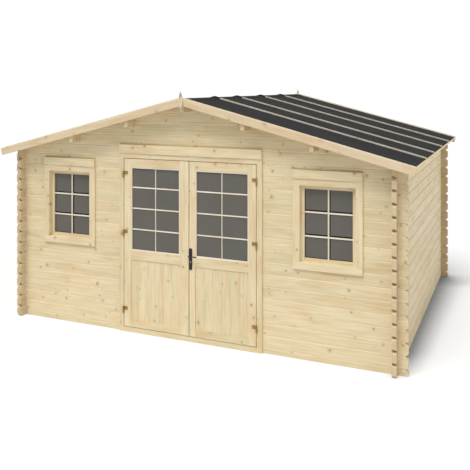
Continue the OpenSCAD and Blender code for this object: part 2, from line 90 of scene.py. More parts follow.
def set_out(node, axis, count):
    """Width of a board, and how far the first edge lies below zero."""
    low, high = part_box(node)
    return (high[axis] - low[axis]) / count, -low[axis]


PANEL_BOARD, PANEL_EDGE = set_out("right_leaf_panel", 0, PANEL_BOARDS)
ROOF_BOARD, ROOF_EDGE = set_out("right_roof_boards", 1, ROOF_BOARDS)
FLOOR_BOARD, FLOOR_EDGE = set_out("floor_boards", 1, FLOOR_BOARDS)


def linear(red, green, blue):
    """A colour given as 0 to 255 on the screen, as the shader wants it."""
    def channel(value):
        value /= 255
        return value / 12.92 if value <= 0.04045 else ((value + 0.055) / 1.055) ** 2.4
    return channel(red), channel(green), channel(blue), 1.0


# Node trees

class Graph:
    """Places nodes in a tree and joins their sockets."""

    def __init__(self, tree):
        self.tree = tree

    def fill(self, socket, value):
        if isinstance(value, bpy.types.NodeSocket):
            self.tree.links.new(value, socket)
        else:
            socket.default_value = value

    def node(self, kind, values=(), **settings):
        """A node with its settings and its inputs, which are given in order or by name."""
        made = self.tree.nodes.new("ShaderNode" + kind)
        for name, value in settings.items():
            setattr(made, name, value)
        pairs = values.items() if isinstance(values, dict) else enumerate(values)
        for key, value in pairs:
            self.fill(made.inputs[key], value)
        return made

    def math(self, operation, *values):
        return self.node("Math", values, operation=operation).outputs[0]

    def combine(self, x, y, z):
        return self.node("CombineXYZ", (x, y, z)).outputs[0]

    def separate(self, vector):
        return self.node("SeparateXYZ", (vector,)).outputs

    def stretch(self, vector, scale):
        return self.node("VectorMath", (vector, scale), operation="MULTIPLY").outputs[0]

    def noise(self, vector, scale, detail=2.0, roughness=0.5):
        values = {"Vector": vector, "Scale": scale, "Detail": detail, "Roughness": roughness}
        return self.node("TexNoise", values).outputs[0]

    def mix(self, factor, a, b, blend="MIX"):
        values = {0: factor, 6: a, 7: b}
        return self.node("Mix", values, data_type="RGBA", blend_type=blend).outputs[2]

    def blend(self, factor, a, b):
        """One of two numbers, or a value between them."""
        return self.node("Mix", {0: factor, 2: a, 3: b}, data_type="FLOAT").outputs[0]

    def between(self, value, low, high):
        """1 where a value lies between two others."""
        above = self.math("GREATER_THAN", value, low)
        below = self.math("LESS_THAN", value, high)
        return self.math("MULTIPLY", above, below)

    def fade(self, value, start, end, low=0.0, high=1.0):
        """A smooth step from low at start to high at end."""
        values = {"Value": value, "From Min": start, "From Max": end, "To Min": low, "To Max": high}
        return self.node("MapRange", values, interpolation_type="SMOOTHSTEP").outputs[0]

    def group(self, name, **values):
        made = self.tree.nodes.new("ShaderNodeGroup")
        made.node_tree = bpy.data.node_groups[name]
        for key, value in values.items():
            self.fill(made.inputs[key], value)
        return made.outputs

    def place(self):
        """Object position and normal, as two sets of three numbers."""
        made = self.node("TexCoord")
        return self.separate(made.outputs["Object"]), self.separate(made.outputs["Normal"])


def new_group(name, inputs, outputs):
    """An empty node group with named inputs, which take the type of their defaults, and named outputs."""
    kinds = {float: "NodeSocketFloat", 3: "NodeSocketVector", 4: "NodeSocketColor"}
    tree = bpy.data.node_groups.new(name, "ShaderNodeTree")
    for socket, value in inputs.items():
        kind = kinds[float] if isinstance(value, float) else kinds[len(value)]
        made = tree.interface.new_socket(socket, in_out="INPUT", socket_type=kind)
        made.default_value = value
    for socket, kind in outputs.items():
        tree.interface.new_socket(socket, in_out="OUTPUT", socket_type="NodeSocket" + kind)
    graph = Graph(tree)
    source = tree.nodes.new("NodeGroupInput").outputs
    target = tree.nodes.new("NodeGroupOutput").inputs
    return graph, source, target


# Effects shared by the finishes

def make_knots_group():
    """Knots scattered along a board: a dark heart and the stained ring round it."""
    g, given, out = new_group(
        "knots",
        {"Along": 0.0, "Across": 0.0, "Spacing": 0.3, "Share": 0.5, "Radius": 0.012, "Seed": 0.0},
        {"Heart": "Float", "Ring": "Float"},
    )
    along = g.math("ADD", given["Along"], given["Seed"])
    across = g.math("DIVIDE", given["Across"], given["Spacing"])
    cell = g.combine(g.math("DIVIDE", along, given["Spacing"]), across, 0.0)
    points = g.node("TexVoronoi", {"Vector": cell, "Scale": 1.0}, voronoi_dimensions="2D")
    chance = g.separate(points.outputs["Color"])
    distance = g.math("MULTIPLY", points.outputs["Distance"], given["Spacing"])
    wobble = g.noise(g.combine(given["Along"], given["Across"], given["Seed"]), 90.0)
    distance = g.math("MULTIPLY_ADD", g.math("SUBTRACT", wobble, 0.5), 0.010, distance)
    radius = g.math("MULTIPLY", given["Radius"], g.math("ADD", chance[1], 0.45))
    present = g.math("LESS_THAN", chance[0], given["Share"])
    strength = g.math("MULTIPLY", present, g.fade(chance[2], 0.0, 1.0, 0.30, 1.0))
    heart = g.fade(distance, g.math("MULTIPLY", radius, 1.1), g.math("MULTIPLY", radius, 0.25))
    ring = g.fade(distance, g.math("MULTIPLY", radius, 2.6), g.math("MULTIPLY", radius, 0.7))
    g.fill(out["Heart"], g.math("MULTIPLY", heart, strength))
    g.fill(out["Ring"], g.math("MULTIPLY", ring, strength))


def make_figure_group():
    """Spruce along the grain: growth rings cut at a slant, fine fibres and the marks of knots."""
    g, given, out = new_group(
        "spruce figure",
        {
            "Grain": (0.0, 0.0, 0.0), "Tone": 0.5, "Heart": 0.0, "Ring": 0.0,
            "Pale": (1.0, 1.0, 1.0, 1.0), "Late": (0.5, 0.4, 0.3, 1.0), "Knot": (0.2, 0.1, 0.05, 1.0),
        },
        {"Color": "Color", "Roughness": "Float", "Height": "Float"},
    )
    bent = g.math("MULTIPLY", given["Ring"], 0.012)
    grain = g.node("VectorMath", (given["Grain"], g.combine(0.0, bent, bent))).outputs[0]
    slant = g.noise(g.stretch(grain, (0.5, 9.0, 9.0)), 1.0, 1.5)
    rings = g.math("PINGPONG", g.math("MULTIPLY", slant, 9.0), 0.5)
    rings = g.fade(rings, 0.02, 0.46)
    fibre = g.noise(g.stretch(grain, (5.0, 240.0, 240.0)), 1.0, 3.0, 0.6)
    streak = g.noise(g.stretch(grain, (3.6, 58.0, 58.0)), 1.0, 2.0)
    late = g.math("MULTIPLY_ADD", rings, 0.14, g.math("MULTIPLY", g.fade(streak, 0.30, 0.74), 0.36))
    late = g.math("MULTIPLY_ADD", g.math("SUBTRACT", fibre, 0.5), 0.24, late)
    colour = g.mix(late, given["Pale"], given["Late"])
    tone = g.fade(given["Tone"], 0.0, 1.0, 0.95, 1.03)
    colour = g.mix(1.0, colour, g.combine(tone, tone, g.math("POWER", tone, 1.4)), "MULTIPLY")
    blush = g.fade(g.noise(g.stretch(grain, (2.4, 8.0, 8.0)), 1.0, 2.0), 0.46, 0.70, 0.0, 0.8)
    colour = g.mix(blush, colour, g.mix(1.0, colour, (0.96, 0.87, 0.80, 1.0), "MULTIPLY"))
    pallor = g.fade(g.noise(g.stretch(grain, (1.8, 7.0, 7.0)), 1.3, 2.0), 0.47, 0.72, 0.0, 0.7)
    colour = g.mix(pallor, colour, g.mix(1.0, colour, (0.92, 0.95, 0.93, 1.0), "MULTIPLY"))
    colour = g.mix(g.math("MULTIPLY", given["Ring"], 0.32), colour, g.mix(0.45, given["Late"], given["Knot"]))
    colour = g.mix(g.math("MULTIPLY", given["Heart"], 0.66), colour, given["Knot"])
    g.fill(out["Color"], colour)
    g.fill(out["Roughness"], g.fade(late, 0.0, 1.0, 0.62, 0.78))
    height = g.math("MULTIPLY_ADD", late, -0.6, g.math("MULTIPLY", given["Heart"], 0.5))
    g.fill(out["Height"], height)


def make_end_grain_group():
    """Sawn end of a board: arcs of growth rings round a heart outside the board, and a blotchy stain."""
    g, given, out = new_group(
        "end grain",
        {
            "Across": 0.0, "Depth": 0.0, "Board": 0.0,
            "Pale": (1.0, 1.0, 1.0, 1.0), "Late": (0.5, 0.4, 0.3, 1.0),
        },
        {"Color": "Color", "Height": "Float"},
    )
    lean = g.node("TexWhiteNoise", {"W": given["Board"]}, noise_dimensions="1D").outputs[0]
    across = g.math("ADD", given["Across"], g.math("MULTIPLY_ADD", lean, 0.12, -0.06))
    depth = g.math("ADD", given["Depth"], 0.03)
    spot = g.combine(across, depth, given["Board"])
    radius = g.math("SQRT", g.math("ADD", g.math("POWER", across, 2.0), g.math("POWER", depth, 2.0)))
    radius = g.math("MULTIPLY_ADD", g.noise(spot, 40.0), 0.006, radius)
    rings = g.math("PINGPONG", g.math("DIVIDE", radius, 0.0044), 0.5)
    rings = g.fade(rings, 0.05, 0.48)
    darkening = g.noise(spot, 22.0, 3.0)
    late = g.math("MULTIPLY_ADD", rings, 0.45, g.math("MULTIPLY", darkening, 0.5))
    g.fill(out["Color"], g.mix(late, given["Pale"], given["Late"]))
    g.fill(out["Height"], g.math("MULTIPLY", rings, -0.8))


def make_board_group():
    """Whole finish of a spruce board, from its length, width and depth and a number for each board."""
    g, given, out = new_group(
        "spruce board",
        {
            "Along": 0.0, "Across": 0.0, "Depth": 0.0, "End": 0.0, "Board": 0.0,
            "Stain And Shade": 0.0, "Edge": 0.0, "Seed": 0.0,
            "Knot Spacing": 0.3, "Knot Share": 0.5, "Knot Radius": 0.012,
            "Pale": (1.0, 1.0, 1.0, 1.0), "Late": (0.5, 0.4, 0.3, 1.0), "Knot": (0.2, 0.1, 0.05, 1.0),
            "End Pale": (0.6, 0.5, 0.4, 1.0), "End Late": (0.4, 0.3, 0.2, 1.0),
        },
        {"Color": "Color", "Roughness": "Float", "Height": "Float"},
    )
    number = g.combine(given["Board"], given["Seed"], 0.0)
    luck = g.node("TexWhiteNoise", {"Vector": number}, noise_dimensions="2D")
    tone = luck.outputs["Value"]
    along = g.math("MULTIPLY_ADD", tone, 11.0, given["Along"])
    across = g.math("MULTIPLY_ADD", tone, 3.0, given["Across"])
    grain = g.combine(along, across, g.math("ADD", given["Depth"], given["Seed"]))
    knots = g.group(
        "knots", Along=along, Across=given["Across"], Spacing=given["Knot Spacing"],
        Share=given["Knot Share"], Radius=given["Knot Radius"], Seed=given["Seed"],
    )
    figure = g.group(
        "spruce figure", Grain=grain, Tone=tone, Heart=knots["Heart"], Ring=knots["Ring"],
        Pale=given["Pale"], Late=given["Late"], Knot=given["Knot"],
    )
    end = g.group(
        "end grain", Across=given["Across"], Depth=given["Depth"], Board=given["Board"],
        Pale=given["End Pale"], Late=given["End Late"],
    )
    # Painted highlight: near a rounded edge or a seam the colour is mixed towards a paler tan, besides the
    # bump that rounds it
    edge_highlight = g.mix(g.math("MULTIPLY", given["Edge"], 0.42), figure["Color"], (0.90, 0.78, 0.56, 1.0))
    colour = g.mix(given["End"], edge_highlight, end["Color"])
    # The darkening input mixes towards brown: painted shade on log ends, seams, purlin and bearer faces,
    # upright bars and the wall over the headers; on the finials it darkens their tips
    stained_and_shaded = g.mix(1.0, colour, (0.41, 0.32, 0.21, 1.0), "MULTIPLY")
    g.fill(out["Color"], g.mix(given["Stain And Shade"], colour, stained_and_shaded))
    g.fill(out["Roughness"], g.blend(given["End"], figure["Roughness"], 0.85))
    grain_height = g.blend(given["End"], figure["Height"], end["Height"])
    g.fill(out["Height"], g.math("MULTIPLY_ADD", given["Edge"], -7.0, grain_height))


make_knots_group()
make_figure_group()
make_end_grain_group()
make_board_group()


# Finishes

def new_material(name, slot_values, bump=None):
    """A material with one principled shader and, where asked, a bump node in front of it."""
    material = bpy.data.materials.new(name)
    material.use_nodes = True
    tree = material.node_tree
    shader = tree.nodes["Principled BSDF"]
    for socket, value in slot_values.items():
        shader.inputs[socket].default_value = value
    graph = Graph(tree)
    if bump:
        strength, depth = bump
        made = graph.node("Bump", {"Strength": strength, "Distance": depth})
        graph.fill(shader.inputs["Normal"], made.outputs[0])
        return material, graph, shader, made.inputs["Height"]
    return material, graph, shader, None


# Colours of the wood, and how far up or down from a seam or an edge the rounding and its painted highlight
# reach
EDGE_ROUNDING = 0.018
SPRUCE_PALE = linear(233, 217, 180)
SPRUCE_LATE = linear(205, 184, 142)
KNOT_BROWN = linear(148, 114, 70)
END_PALE = linear(228, 208, 172)
END_LATE = linear(200, 177, 138)


def spruce(name, lay, seed, pale=SPRUCE_PALE, late=SPRUCE_LATE, knots=(0.155, 0.58, 0.0125)):
    """Planed spruce; lay works out how the boards run."""
    material, g, shader, height = new_material(name, {"IOR": 1.45, "Specular IOR Level": 0.3}, (0.25, 0.0006))
    made = g.group(
        "spruce board", Seed=float(seed), **lay(g),
        **{"Knot Spacing": knots[0], "Knot Share": knots[1], "Knot Radius": knots[2]},
        **{"Pale": pale, "Late": late, "Knot": KNOT_BROWN, "End Pale": END_PALE, "End Late": END_LATE},
    )
    g.fill(shader.inputs["Base Color"], made["Color"])
    g.fill(shader.inputs["Roughness"], made["Roughness"])
    g.fill(height, made["Height"])
    return material


def facing(g, normal, least=0.8):
    """1 on faces that look along an axis."""
    return g.math("GREATER_THAN", g.math("ABSOLUTE", normal), least)


def numbered(g, value, step, shift=0.0):
    """The number of the board that a place falls on."""
    return g.math("FLOOR", g.math("DIVIDE", g.math("ADD", value, shift), step))


def from_seam(g, z, shift):
    """Distance up or down to the nearest seam between two logs."""
    return g.math("PINGPONG", g.math("ADD", z, shift), LOG_H / 2)


def shaded_log_ends(g, along, wall, normal_along, normal_z, sides, cuts):
    """Painted shade on the log ends past a crossing wall: the given shade on all their faces, or the given
    share on the cuts' downward faces where that is more.
    """
    past = g.fade(g.math("ABSOLUTE", along), wall, wall + 0.012)
    under = g.math("MULTIPLY", g.math("LESS_THAN", normal_z, -0.3), facing(g, normal_along, 0.3))
    return g.math("MULTIPLY", past, g.math("MAXIMUM", sides, g.math("MULTIPLY", under, cuts)))


def painted_shade_over_headers(g, x, y, z):
    """A painted shade line on the wall where a board over the door or a window meets it."""
    line = 0.0
    for name in ("door_header", "left_window_header", "right_window_header"):
        low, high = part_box(name)
        level = g.math("ABSOLUTE", g.math("SUBTRACT", z, high.z))
        near = g.math("MULTIPLY", g.fade(level, 0.026, 0.004), g.between(x, low.x, high.x))
        line = g.math("MAXIMUM", line, near)
    outside = g.math("LESS_THAN", y, -WALL_Y + 0.02)
    return g.math("MULTIPLY", g.math("MULTIPLY", line, outside), 0.45)


def logs_along_x(shift):
    """Logs of the front and the rear."""
    def lay(g):
        (x, y, z), normal = g.place()
        seam = from_seam(g, z, shift)
        # Painted shade on the log ends past the side walls, slight at the front and strong at the rear, and
        # on the downward faces of their cuts
        sides = g.fade(y, -1.0, 1.0, 0.05, 0.42)
        ends = shaded_log_ends(g, x, WALL_X, normal[0], normal[2], sides, 0.80)
        return {
            "Along": x, "Across": z, "Depth": y, "End": facing(g, normal[0], 0.4),
            "Board": numbered(g, z, LOG_H, shift), "Edge": g.fade(seam, EDGE_ROUNDING, 0.0),
            "Stain And Shade": g.math("MAXIMUM", ends, painted_shade_over_headers(g, x, y, z)),
        }
    return lay


def logs_along_y(shift):
    """Logs of the two sides, with painted shade on their ends past the front and rear walls, spread more
    evenly at the left corners, and painted shade in their seams.
    """
    def lay(g):
        (x, y, z), normal = g.place()
        seam = from_seam(g, z, shift)
        # Painted shade on the log ends: faces turned to the sides darker than the end faces, much more so at
        # the right; the cuts darkest at their left, fading to the right
        left = g.math("LESS_THAN", x, 0.0)
        on_end = g.blend(left, 0.06, 0.26)
        on_side = g.blend(left, 0.58, 0.35)
        sides = g.fade(g.math("ABSOLUTE", normal[0]), 0.3, 0.8, on_end, on_side)
        off = g.math("MULTIPLY_ADD", g.math("SIGN", x), LOG_T / 2 - WALL_X, x)
        ends = shaded_log_ends(g, y, WALL_Y, normal[1], normal[2], sides, g.fade(off, -0.004, 0.014, 0.78, 0.15))
        return {
            "Along": y, "Across": z, "Depth": x, "End": facing(g, normal[1], 0.4),
            "Board": numbered(g, z, LOG_H, shift), "Edge": g.fade(seam, EDGE_ROUNDING, 0.0),
            # Painted shade in the seams between the logs
            "Stain And Shade": g.math("MAXIMUM", ends, g.fade(seam, 0.009, 0.002, 0.0, 0.5)),
        }
    return lay


def boards_along_x(step):
    """Level boards across the front."""
    def lay(g):
        (x, y, z), normal = g.place()
        board = numbered(g, z, step)
        return {"Along": x, "Across": z, "Depth": y, "End": facing(g, normal[0]), "Board": board}
    return lay


def boards_upright(step, shift):
    """Upright boards across the front."""
    def lay(g):
        (x, y, z), normal = g.place()
        board = numbered(g, x, step, shift)
        return {"Along": z, "Across": x, "Depth": y, "End": facing(g, normal[2]), "Board": board}
    return lay


def boards_in_panels(step, shift):
    """Upright boards in the leaves' lower fields."""
    def lay(g):
        (x, y, z), normal = g.place()
        side = g.math("MULTIPLY", g.math("SIGN", x), 20.0)
        board = g.math("ADD", numbered(g, g.math("ABSOLUTE", x), step, shift), side)
        return {"Along": z, "Across": x, "Depth": y, "End": facing(g, normal[2]), "Board": board}
    return lay


def finial_boards(g):
    """The finials, whose tips are darker."""
    (x, y, z), normal = g.place()
    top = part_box("finials")[1].z
    tips = g.fade(z, top - 0.075, top - 0.03, 0.0, 0.3)
    return {
        "Along": z, "Across": x, "Depth": y, "End": facing(g, normal[2]),
        "Board": g.math("SIGN", y), "Stain And Shade": tips,
    }


def boards_across_floor(step, shift):
    """Floor boards from side to side."""
    def lay(g):
        (x, y, z), normal = g.place()
        board = numbered(g, y, step, shift)
        return {"Along": x, "Across": y, "Depth": z, "End": facing(g, normal[0]), "Board": board}
    return lay


def beams_along_y(step, shift=0.0, sides=0.0):
    """Beams and strips from the front to the rear, with painted shade on the faces turned to the sides where
    asked.
    """
    def lay(g):
        (x, y, z), normal = g.place()
        return {
            "Along": y, "Across": x, "Depth": z, "End": facing(g, normal[1]),
            "Board": numbered(g, x, step, shift), "Stain And Shade": g.math("MULTIPLY", facing(g, normal[0]), sides),
        }
    return lay


def boards_down_roof(step, shift=0.0):
    """Boards and battens from the ridge to the eaves."""
    def lay(g):
        (x, y, z), normal = g.place()
        side = g.math("MULTIPLY", g.math("SIGN", x), 40.0)
        board = g.math("ADD", numbered(g, y, step, shift), side)
        along = g.math("ABSOLUTE", x)
        return {"Along": along, "Across": y, "Depth": z, "End": facing(g, normal[0]), "Board": board}
    return lay


def boards_up_gable(g):
    """Bargeboards, which run down both slopes and are rounded along their upper edges, with a painted
    highlight there.
    """
    (x, y, z), normal = g.place()
    along = g.math("ABSOLUTE", x)
    across = g.math("MULTIPLY_ADD", along, SLOPE, z)
    board = g.math("ADD", g.math("SIGN", x), g.math("MULTIPLY", g.math("SIGN", y), 3.0))
    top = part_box("front_bargeboards")[1].z
    return {
        "Along": along, "Across": across, "Depth": y, "End": facing(g, normal[0]), "Board": board,
        "Edge": g.fade(across, top - EDGE_ROUNDING, top - 0.004),
    }


def framed(upright, step_x, step_z, darkening=0.0):
    """Frames with upright and level pieces in one; upright works out which stand, and those get the painted
    shade given.
    """
    def lay(g):
        (x, y, z), normal = g.place()
        stands = upright(g, x, z)
        level_number = numbered(g, z, step_z, step_z / 2)
        upright_number = g.math("ADD", numbered(g, x, step_x, step_x / 2), 50.0)
        return {
            "Along": g.blend(stands, x, z), "Across": g.blend(stands, z, x), "Depth": y,
            "End": g.blend(stands, facing(g, normal[0]), facing(g, normal[2])),
            "Board": g.blend(stands, level_number, upright_number),
            "Stain And Shade": g.math("MULTIPLY", stands, darkening),
        }
    return lay


def beside_fields(g, x, z):
    """Stiles of the leaves, beside their panels and panes."""
    low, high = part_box("right_leaf_pane")
    off = g.math("ABSOLUTE", x)
    return g.math("SUBTRACT", 1.0, g.between(off, low.x, high.x))


def beside_window(name):
    """Pieces that stand beside a window's opening."""
    low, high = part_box(name)
    return lambda g, x, z: g.between(z, low.z, high.z)


def beside_pane(name):
    """Stiles of a sash."""
    low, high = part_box(name)
    return lambda g, x, z: g.math("SUBTRACT", 1.0, g.between(x, low.x, high.x))


def upright_bars(g, x, z):
    """Mullions, and the strips along a pane's upright edges, where the leaves have beads."""
    off = g.math("ABSOLUTE", x)
    stands = 0.0
    for name, bar in (("right_leaf_pane", LEAF_MULLION), ("right_window_pane", WINDOW_BAR)):
        low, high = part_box(name)
        middle = g.math("ABSOLUTE", g.math("SUBTRACT", off, (low.x + high.x) / 2))
        edge = (high.x - low.x) / 2 - BEAD
        near = g.math("LESS_THAN", middle, bar / 2 + 0.001)
        beside = g.between(middle, edge, edge + BEAD)
        stands = g.math("MAXIMUM", stands, g.math("MAXIMUM", near, beside))
    return stands


def felt_finish():
    """Mineral felt: dark grit with paler grains, laid in strips of slightly different greys."""
    material, g, shader, height = new_material("felt", {"Specular IOR Level": 0.06}, (0.6, 0.0015))
    (x, y, z), _ = g.place()
    spot = g.combine(x, y, z)
    grit = g.noise(spot, 420.0, 2.0, 0.7)
    cloud = g.noise(g.stretch(spot, (0.7, 2.2, 0.7)), 1.6, 4.0)
    colour = g.mix(g.fade(cloud, 0.3, 0.7), linear(39, 39, 40), linear(47, 45, 44))
    colour = g.mix(g.math("MULTIPLY", g.fade(grit, 0.55, 0.75), 0.5), colour, linear(84, 83, 82))
    colour = g.mix(g.math("MULTIPLY", g.fade(grit, 0.45, 0.28), 0.6), colour, linear(30, 30, 30))
    g.fill(shader.inputs["Base Color"], colour)
    g.fill(shader.inputs["Roughness"], g.fade(grit, 0.2, 0.8, 0.95, 0.8))
    g.fill(height, grit)
    return material


def no_shade(g, x, z):
    """No lines, on the leaves' panes."""
    return 0.0


def shade_of_bars(g, x, z):
    """Painted shade on a window's pane: dark lines right of its left edge and mullion, and over its foot and
    level bars.
    """
    over_foot = 0.007
    over_bar = WINDOW_BAR / 2 + 0.015
    low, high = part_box("right_window_pane")
    half = (high.x - low.x) / 2
    off = g.math("MULTIPLY_ADD", g.math("SIGN", x), -(low.x + half), x)
    reach = g.math("MULTIPLY_ADD", g.math("LESS_THAN", x, 0.0), 0.006, 0.011)
    line = g.between(off, 0.0, g.math("ADD", reach, WINDOW_BAR / 2))
    line = g.math("MAXIMUM", line, g.between(off, -half, g.math("MULTIPLY_ADD", reach, 0.6, -half)))
    line = g.math("MAXIMUM", line, g.between(z, low.z, low.z + over_foot))
    for share in WINDOW_LEVELS:
        level = low.z + (high.z - low.z) * share
        line = g.math("MAXIMUM", line, g.between(z, level, level + over_bar))
    return line


def pane_finish(name, lines):
    """Dim glass: grey before a dark room, with a faint unevenness, and painted shade lines where asked."""
    material, g, shader, _ = new_material(name, {"Alpha": 0.84, "IOR": 1.5, "Specular IOR Level": 0.3})
    (x, y, z), _ = g.place()
    film = g.noise(g.combine(x, y, z), 3.0, 3.0)
    colour = g.mix(film, linear(104, 101, 94), linear(114, 110, 104))
    g.fill(shader.inputs["Base Color"], g.mix(lines(g, x, z), colour, linear(14, 10, 6)))
    g.fill(shader.inputs["Roughness"], g.fade(film, 0.3, 0.8, 0.10, 0.22))
    return material


def metal_finish(name, colour, dull, metallic, roughness, scale):
    """Plated or painted metal with duller patches."""
    material, g, shader, height = new_material(name, {"Metallic": metallic}, (0.15, 0.0004))
    (x, y, z), _ = g.place()
    spot = g.combine(x, y, z)
    patch = g.fade(g.noise(spot, scale, 4.0, 0.6), 0.35, 0.7)
    g.fill(shader.inputs["Base Color"], g.mix(patch, colour, dull))
    g.fill(shader.inputs["Roughness"], g.fade(patch, 0.0, 1.0, roughness, roughness + 0.22))
    g.fill(height, g.noise(spot, scale * 9.0))
    return material


front_logs = spruce("front logs", logs_along_x(LOG_H / 2), 1)
side_logs = spruce("side logs", logs_along_y(0.0), 2, linear(232, 216, 184))
header_wood = spruce("header wood", boards_along_x(0.4), 3)
door_head_wood = spruce("door head wood", boards_along_x(0.25), 12)
upright_boards = spruce("upright boards", boards_upright(0.4, 0.2), 4)
leaf_wood = spruce("leaf wood", framed(beside_fields, 0.4, 1 / 2.2), 5)
panel_wood = spruce("panel boards", boards_in_panels(PANEL_BOARD, PANEL_EDGE), 13)
# The upright bars and bead strips get painted shade, so that the level bars look lit from above
bar_wood = spruce(
    "bar wood", framed(upright_bars, 0.05, 0.05, 0.14), 14,
    linear(246, 238, 222), linear(228, 214, 188), (0.5, 0.1, 0.004),
)
# The purlins' and bearers' faces turned to the sides get painted shade
purlin_wood = spruce("purlin wood", beams_along_y(0.31, 0.155, 0.24), 6)
roof_wood = spruce("roof boards", boards_down_roof(ROOF_BOARD, ROOF_EDGE), 7)
floor_wood = spruce("floor boards", boards_across_floor(FLOOR_BOARD, FLOOR_EDGE), 8)
eave_wood = spruce("eave wood", beams_along_y(1.0), 9)
barge_wood = spruce(
    "bargeboards", boards_up_gable, 33, linear(229, 209, 176), linear(203, 180, 144), (0.18, 0.7, 0.015),
)
# The rear bargeboards are paler than the front ones: a painted highlight on their thin lip above the felt
rear_barge_wood = spruce(
    "rear bargeboards", boards_up_gable, 15, linear(241, 227, 198), linear(222, 204, 172),
)
finial_wood = spruce("finials", finial_boards, 16, linear(226, 212, 180), linear(200, 184, 150))
batten_wood = spruce("battens", boards_down_roof(0.3), 11, linear(208, 201, 185), linear(184, 177, 160))
felt = felt_finish()
leaf_pane = pane_finish("leaf pane", no_shade)
window_pane = pane_finish("window pane", shade_of_bars)
brass = metal_finish("brass", linear(186, 152, 84), linear(132, 102, 50), 1.0, 0.32, 60.0)
lock_metal = metal_finish("lock metal", linear(178, 174, 166), linear(152, 147, 138), 1.0, 0.3, 90.0)
nail_metal = metal_finish("nails", linear(196, 190, 172), linear(150, 142, 120), 1.0, 0.4, 70.0)
black_metal = metal_finish("black metal", linear(24, 22, 21), linear(34, 31, 29), 0.0, 0.42, 80.0)

FINISHES = {
    front_logs: ("front_wall_left", "front_wall_right", "front_gable", "rear_wall", "rear_gable"),
    side_logs: ("left_wall", "right_wall"),
    header_wood: ("door_header", "left_window_header", "right_window_header"),
    door_head_wood: ("door_head", "door_threshold"),
    upright_boards: ("door_jambs",),
    panel_wood: ("left_leaf_panel", "right_leaf_panel"),
    leaf_wood: ("left_leaf_frame", "right_leaf_frame"),
    purlin_wood: ("ridge_purlin", "left_purlins", "right_purlins", "floor_bearers"),
    roof_wood: ("left_roof_boards", "right_roof_boards"),
    floor_wood: ("floor_boards",),
    eave_wood: ("eave_strips",),
    barge_wood: ("front_bargeboards",),
    rear_barge_wood: ("rear_bargeboards",),
    finial_wood: ("finials",),
    batten_wood: ("left_battens", "right_battens"),
    felt: ("left_felt", "right_felt", "ridge_felt"),
    leaf_pane: ("left_leaf_pane", "right_leaf_pane"),
    window_pane: ("left_window_pane", "right_window_pane"),
    brass: ("hinge_pins", "left_leaf_hinges", "right_leaf_hinges"),
    black_metal: ("handle_plates", "lever_handle"),
}


def dress(node, material):
    """Gives every slot of a CAD node one material."""
    for place in nodes[node].material_slots:
        place.material = material


for finish, names in FINISHES.items():
    for name in names:
        dress(name, finish)
for side, seed in (("left", 20), ("right", 24)):
    frame_name, sash_name = f"{side}_window_frame", f"{side}_window_sash"
    opening = beside_window(sash_name)
    dress(frame_name, spruce(f"{side} window frame", framed(opening, 0.6, 0.7), seed))
    dress(sash_name, spruce(f"{side} sash", framed(beside_pane(f"{side}_window_pane"), 0.4, 0.6), seed + 1))


# Pieces added to the CAD

def block(bm, low, high, ease, eased):
    """A board between two corners; eased picks the edges that are planed off."""
    low, high = Vector(low), Vector(high)
    corners = bmesh.ops.create_cube(bm, size=1.0)["verts"]
    bmesh.ops.scale(bm, vec=high - low, verts=corners)
    bmesh.ops.translate(bm, vec=(low + high) / 2, verts=corners)
    edges = [edge for edge in bm.edges if edge.verts[0] in corners and eased(edge)]
    bmesh.ops.bevel(bm, geom=edges, offset=ease, affect="EDGES", segments=1, profile=0.5, material=-1)


def runs_along(axis):
    """Picks the edges that run along an axis."""
    def pick(edge):
        step = edge.verts[1].co - edge.verts[0].co
        return abs(step[axis]) > step.length * 0.99
    return pick


def on_face(axis, value):
    """Picks the edges round a face that looks along an axis."""
    return lambda edge: all(abs(vert.co[axis] - value) < 1e-5 for vert in edge.verts)


def rim(bm, low, high, width, glass_y, face_y):
    """A bead round a pane, in one piece, with its inner edge planed off."""
    middle = (low + high) / 2
    size = high - low
    turn = Matrix(((size.x, 0, 0, middle.x), (0, 0, 1, glass_y), (0, size.z, 0, middle.z), (0, 0, 0, 1)))
    corners = bmesh.ops.create_grid(bm, x_segments=1, y_segments=1, size=0.5, matrix=turn)["verts"]
    face = corners[0].link_faces[0]
    ring = bmesh.ops.inset_individual(bm, faces=[face], thickness=width, use_even_offset=True)["faces"]
    bmesh.ops.delete(bm, geom=[face], context="FACES_ONLY")
    made = bmesh.ops.extrude_face_region(bm, geom=ring, use_keep_orig=True)["geom"]
    raised = [item for item in made if isinstance(item, bmesh.types.BMVert)]
    bmesh.ops.translate(bm, vec=(0, face_y - glass_y, 0), verts=raised)
    inside = [vert for vert in raised if abs(vert.co.x - middle.x) < size.x / 2 - width / 2
              and abs(vert.co.z - middle.z) < size.z / 2 - width / 2]
    edges = [edge for edge in bm.edges if edge.verts[0] in inside and edge.verts[1] in inside]
    bmesh.ops.bevel(bm, geom=edges, offset=BEAD_EASE, affect="EDGES", segments=2, profile=0.5, material=-1)


def highest_face(verts):
    """The face on top of a shape."""
    faces = [face for vert in verts for face in vert.link_faces]
    return max(faces, key=lambda face: face.calc_center_median().z)


def screw(bm, place, towards, radius):
    """A raised screw head with a sunk drive, on a face that looks towards a direction."""
    before = len(bm.verts)
    turn = Vector(towards).to_track_quat("Z", "Y").to_matrix().to_4x4()
    head = bmesh.ops.create_cone(
        bm, cap_ends=True, segments=10, radius1=radius, radius2=radius * 0.7, depth=radius * 0.5,
        matrix=Matrix.Translation((0, 0, radius * 0.25)),
    )["verts"]
    top = highest_face(head)
    bmesh.ops.inset_individual(bm, faces=[top], thickness=radius * 0.35)
    bmesh.ops.translate(bm, vec=(0, 0, -radius * 0.3), verts=top.verts)
    made = list(bm.verts)[before:]
    bmesh.ops.transform(bm, matrix=Matrix.Translation(place) @ turn, verts=made)


